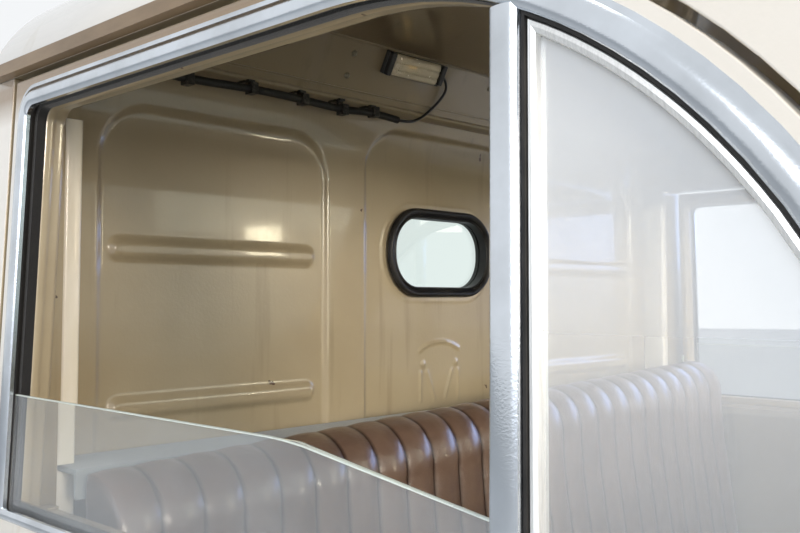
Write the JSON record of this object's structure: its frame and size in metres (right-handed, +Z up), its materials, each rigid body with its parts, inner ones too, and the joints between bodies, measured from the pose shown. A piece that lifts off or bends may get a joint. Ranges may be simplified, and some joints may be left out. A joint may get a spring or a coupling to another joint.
{
  "type": "cab of a small pickup truck",
  "caption": "Steel cab of a small 1950s pickup truck with hinged doors, pleated bench seat, pressed rear bulkhead, oval rear window and turning steering wheel.",
  "frame": {"origin": "midway between the four body bolts, on the cab's underside", "axes": "+X to the front of the vehicle, +Y to its left, +Z up"},
  "size_m": [1.361, 1.518, 1.326],
  "materials": {
    "body_paint": "gloss",
    "painted_steel_black": "satin",
    "bright_chrome": "polished",
    "satin_aluminium": "satin",
    "clip_steel": "satin",
    "black_rubber": "matte",
    "clear_glass": "gloss",
    "lamp_lens": "gloss",
    "ivory_plastic": "gloss",
    "black_plastic": "satin",
    "seat_vinyl": "satin"
  },
  "bodies": {
    "root": {"floor_pan": "body_paint", "body_mounts": "black_rubber", "firewall": "body_paint", "cowl_panel": "body_paint", "cowl_sides": "body_paint", "windscreen_frame": "body_paint", "windscreen_glass": "clear_glass", "windscreen_seal": "black_rubber", "roof_panel": "body_paint", "drip_gutters": "body_paint", "door_pillars": "body_paint", "rear_bulkhead": "body_paint", "rear_window_seal": "black_rubber", "rear_window_glass": "clear_glass", "parcel_ledge": "body_paint", "rear_header_rail": "body_paint", "cabin_lamp_base": "black_plastic", "cabin_lamp_lens": "lamp_lens", "wiring_loom": "black_plastic", "lamp_wire": "black_plastic", "loom_clips": "clip_steel", "hinge_pillar_leaves": "body_paint", "seat_base": "painted_steel_black", "seat_cushion": "seat_vinyl", "seat_back": "seat_vinyl", "instrument_panel": "body_paint", "steering_column": "painted_steel_black", "column_bracket": "painted_steel_black", "pedals": "painted_steel_black", "gear_lever": "painted_steel_black", "handbrake": "painted_steel_black"},
    "steering": {"steering_wheel": "black_plastic"},
    "door_left": {"door_shell_left": "body_paint", "window_surround_left": "bright_chrome", "glass_run_left": "black_rubber", "window_glass_left": "clear_glass", "quarter_light_left": "satin_aluminium", "quarter_glass_left": "clear_glass", "sill_seal_left": "black_rubber", "lock_knob_left": "ivory_plastic", "outer_handle_left": "bright_chrome", "inner_handles_left": "bright_chrome", "hinge_leaves_left": "body_paint"},
    "door_right": {"door_shell_right": "body_paint", "window_surround_right": "bright_chrome", "glass_run_right": "black_rubber", "window_glass_right": "clear_glass", "quarter_light_right": "satin_aluminium", "quarter_glass_right": "clear_glass", "sill_seal_right": "black_rubber", "lock_knob_right": "ivory_plastic", "outer_handle_right": "bright_chrome", "inner_handles_right": "bright_chrome", "hinge_leaves_right": "body_paint"}
  },
  "joints": [
    {"name": "left_door_hinge", "type": "hinge", "parent": "root", "child": "door_left", "pos_m": [0.383, 0.749, 0.4], "axis": [0, 0, -1], "range_deg": [0, 65]},
    {"name": "right_door_hinge", "type": "hinge", "parent": "root", "child": "door_right", "pos_m": [0.383, -0.749, 0.4], "axis": [0, 0, 1], "range_deg": [0, 65]},
    {"name": "steering_turn", "type": "hinge", "parent": "root", "child": "steering", "pos_m": [-0.06, 0.33, 0.69], "axis": [-0.809, 0, 0.5878], "range_deg": [-540, 540]}
  ]
}
